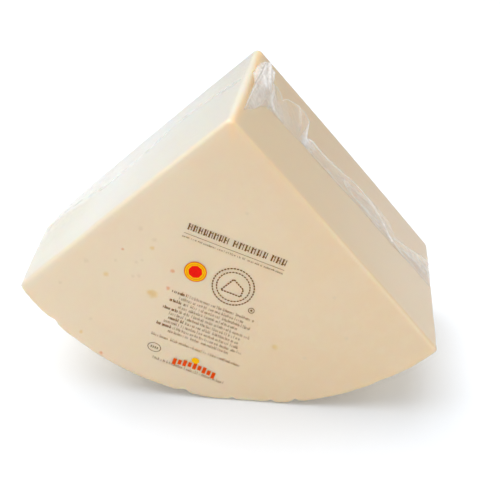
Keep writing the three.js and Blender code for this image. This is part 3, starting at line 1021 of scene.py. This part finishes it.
def stroke_row(start, end, v, height, bold_until=0.0):
    """A row of strokes in groups of uneven length, some of them tall and some tied in pairs."""
    u = start
    low = height * LOW_SHARE
    while u < end:
        group = min(end, u + LETTER * draw.randint(2, 9))
        while u < group:
            weight = STROKE * (2 if u < start + bold_until else 1)
            tall = height if draw.random() < TALL_CHANCE else low
            brown.bar(u, v - tall / 2, weight, tall)
            if draw.random() < PAIR_CHANCE:
                brown.bar(u + STEM_APART, v - low / 2, weight * SECOND_STEM, low)
                brown.bar(u + STEM_APART / 2, v - draw.choice(TIE_LEVELS) * low, TIE_WIDTH, STROKE)
            u += LETTER * draw.uniform(0.8, 1.25)
        u += LETTER * GROUP_GAP


for index, width in enumerate(ROW_WIDTHS):
    first = ROW_MIDDLE - width / 2
    bold = BOLD_WIDTH if index % 2 == 0 else 0.0
    stroke_row(first, first + width, FIRST_ROW + index * ROW_STEP, ROW_HEIGHT, bold)
for row in SINGLE_ROWS:
    stroke_row(*row)
print("rows:", len(ROW_WIDTHS) + len(SINGLE_ROWS))

# %% Heading of upright bars, rule, small rings
# Each group: start, end, number of pairs of bars.
HEADING_GROUPS = ((0.2, 23.0, 8), (25.0, 44.9, 6), (46.2, 55.4, 3))
CAP = 3.8
HEADING_FOOT = -4.0
HEAVY_BAR, THIN_BAR = 0.76, 0.4
HEADING_TIES = (0.22, 0.5, 0.78)
BAR_END = (1.2, 0.24)
RULE_MIDDLE, RULE_LENGTH, RULE_WIDTH = (27.5, -1.5), 55.9, 0.22
OVAL, OVAL_RADIUS, OVAL_SQUASH = (6.6, 74.5), 3.9, 0.76
SMALL_RING, SMALL_RADIUS, DOT_RADIUS = (48.2, 29.0), 1.75, 0.6
RING_WIDTH = 0.34
for start, end, count in HEADING_GROUPS:
    for index in range(count):
        u = start + (index + 0.5) * (end - start) / count
        half = draw.uniform(0.6, 0.85)
        brown.bar(u - half, HEADING_FOOT - CAP / 2, HEAVY_BAR, CAP)
        brown.bar(u + half, HEADING_FOOT - CAP / 2, THIN_BAR, CAP)
        brown.bar(u, HEADING_FOOT - CAP * draw.choice(HEADING_TIES), 2 * half, THIN_BAR)
        for level in (0.03, 0.97):
            brown.bar(u - half, HEADING_FOOT - CAP * level, *BAR_END)
brown.bar(*RULE_MIDDLE, RULE_LENGTH, RULE_WIDTH)
brown.ring(*OVAL, OVAL_RADIUS, RING_WIDTH, OVAL_SQUASH)
for index in range(4):
    brown.bar(OVAL[0] + (index - 1.5) * 1.2, OVAL[1], 0.5, 1.5)
brown.ring(*SMALL_RING, SMALL_RADIUS, RING_WIDTH)
brown.disc(*SMALL_RING, DOT_RADIUS)

# %% Dashed badge with a plain wedge in it
BADGE = (34.2, 19.1)
BADGE_CIRCLES = ((11.3, 0.74), (9.0, 0.66))
BADGE_CORNERS = ((-5.6, 4.2), (5.6, 4.2), (5.6, -0.6), (-1.2, -4.6), (-5.6, 4.2))
BADGE_LINE = 0.78
DASH = 1.72
DASH_SHARE = 0.68


def dashed_circle(u, v, radius, width):
    dashes = round(2 * math.pi * radius / DASH)
    length = 2 * math.pi * radius / dashes * DASH_SHARE
    for index in range(dashes):
        angle = 2 * math.pi * index / dashes
        brown.bar(u + radius * math.cos(angle), v + radius * math.sin(angle), length, width,
                  math.pi / 2 - angle)


def dashed_line(start, end, width):
    (u0, v0), (u1, v1) = start, end
    length = math.hypot(u1 - u0, v1 - v0)
    count = max(1, round(length / DASH))
    for index in range(count):
        share = (index + 0.5) / count
        brown.bar(u0 + (u1 - u0) * share, v0 + (v1 - v0) * share, length / count * DASH_SHARE, width,
                  -math.atan2(v1 - v0, u1 - u0))


for radius, width in BADGE_CIRCLES:
    dashed_circle(*BADGE, radius, width)
corners = [(BADGE[0] + u, BADGE[1] + v) for u, v in BADGE_CORNERS]
for first, second in zip(corners, corners[1:]):
    dashed_line(first, second, BADGE_LINE)
brown.finish("print_brown", ink_material("brown ink", (0.20, 0.085, 0.006), 0.98))

# %% Red and yellow marks
ROUNDEL = (12.5, 18.6)
RIM_RADIUS, FACE_RADIUS, LINE_RADIUS, CORE_RADIUS = 6.2, 5.6, 4.8, 3.9
STRIP_START, STRIP_STEP, STRIP_COUNT = 20.1, 2.9, 9
STRIP_MIDDLE, STRIP_TOP, STRIP_BEND = 31.7, 77.2, 0.013
STRIP_WIDTH, STRIP_TALL, STRIP_LOW = 2.1, 4.4, 3.3
CORE_INSET = (0.6, 0.8)
SPOT = (30.9, 73.4)
red, yellow, orange, ember = Ink(), Ink(), Ink(), Ink()
orange.disc(*ROUNDEL, RIM_RADIUS)
yellow.disc(*ROUNDEL, FACE_RADIUS)
ember.ring(*ROUNDEL, LINE_RADIUS, 0.2)
red.disc(*ROUNDEL, CORE_RADIUS, sides=8)
yellow.bar(*ROUNDEL, 2.2, 2.2, math.radians(45))
for index in range(STRIP_COUNT):
    u = STRIP_START + index * STRIP_STEP
    v = STRIP_TOP + STRIP_BEND * (u - STRIP_MIDDLE) ** 2
    height = STRIP_TALL if index % 2 == 0 else STRIP_LOW
    orange.bar(u, v, STRIP_WIDTH, height)
    ember.bar(u, v, STRIP_WIDTH - CORE_INSET[0], height - CORE_INSET[1])
yellow.disc(*SPOT, 2.4, 0.85, 8)
orange.finish("print_orange", ink_material("orange ink", (0.86, 0.19, 0.01), 0.97))
yellow.finish("print_yellow", ink_material("yellow ink", (1.0, 0.53, 0.002), 1.0), 2)
ember.finish("print_ember", ink_material("ember ink", (0.83, 0.07, 0.006), 0.97), 3)
red.finish("print_red", ink_material("red ink", (0.93, 0.01, 0.003), 0.97), 3)

# %% [markdown]
# ## The studio
# The photo was taken on a white sweep under large soft lights. A big plane stands for the sweep.
# The main light is a wide panel overhead, a little to the left, so the shadow falls to the right.
# A key on the left whitens the left cut, and weak ones in front and on the right fill in. A faint
# light on the wall behind keeps the film from mirroring a dark room.

# %% Floor, world and lights
FLOOR_SIZE = 6.0
SWEEP_WHITE = (0.89, 0.925, 0.975)
SWEEP_GLOW = 0.09
ROOM_LIGHT = 0.4
MIDDLE = (0, 0, 0.08)
# Each light: name, place, what it faces, size, power in watts.
LIGHTS = (("overhead", (-0.45, 0.2, 1.6), (0, 0.1, 0), (2.4, 2.4), 31.8),
          ("left key", (-0.8, 0.5, 1.35), MIDDLE, (0.9, 0.9), 3.2),
          ("front fill", (0.0, -1.6, 0.32), (0, 0, 0.04), (1.2, 0.6), 3.3),
          ("right fill", (1.1, 0.2, 1.0), MIDDLE, (1.0, 1.0), 2.2),
          ("back wall", (0.0, 2.7, 0.9), (0, 0, 0.9), (5.4, 1.8), 5.0))


def soft_light(name, place, aim, size, power):
    data = bpy.data.lights.new(name, "AREA")
    data.shape = "RECTANGLE"
    data.size, data.size_y = size
    data.energy = power
    light = show(name, data)
    light.location = place
    light.rotation_euler = (Vector(aim) - Vector(place)).to_track_quat("-Z", "Y").to_euler()


def sweep_material():
    material, tree, shader = new_material("white sweep")
    fill(shader, {"Base Color": (*SWEEP_WHITE, 1), "Roughness": 0.7, "Specular IOR Level": 0.2,
                  "Emission Color": (1, 1, 1, 1), "Emission Strength": SWEEP_GLOW})
    return material


floor = grid_piece("floor", 1, 1, FLOOR_SIZE / 2)
floor.data.materials.append(sweep_material())

world = bpy.data.worlds.new("soft room")
bpy.context.scene.world = world
world.use_nodes = True
fill(world.node_tree.nodes["Background"], {"Color": (1, 1, 1, 1), "Strength": ROOM_LIGHT})
for light in LIGHTS:
    soft_light(*light)
bpy.context.scene.view_settings.view_transform = "Standard"
print("studio has", len(LIGHTS), "soft lights,", sum(light[-1] for light in LIGHTS), "W in all")

# %% [markdown]
# ## The camera
# The viewpoint was found from the six visible corners of the wedge: 6.9 degrees to the right of
# straight on, 28.8 degrees up, and near enough for clear perspective.

# %% Camera
CAMERA_AZIMUTH = math.radians(6.88)
CAMERA_ELEVATION = math.radians(28.79)
CAMERA_DISTANCE = 542.63 * MM
CAMERA_LENS = 65.57
AIM_ACROSS = 2.2 * MM
AIM_UP = 65.6 * MM


def photo_camera():
    data = bpy.data.cameras.new("photo camera")
    data.sensor_fit = "HORIZONTAL"
    data.sensor_width = 36
    data.lens = CAMERA_LENS
    data.clip_start = 0.01
    camera = show("photo camera", data)
    level = math.cos(CAMERA_ELEVATION)
    back = Vector((math.sin(CAMERA_AZIMUTH) * level, -math.cos(CAMERA_AZIMUTH) * level,
                   math.sin(CAMERA_ELEVATION)))
    aim = Vector((tip.x + AIM_ACROSS, 0, AIM_UP))
    camera.location = aim + back * CAMERA_DISTANCE
    camera.rotation_euler = (-back).to_track_quat("-Z", "Y").to_euler()
    bpy.context.scene.camera = camera
    print("camera stands at", [round(value, 3) for value in camera.location])


photo_camera()
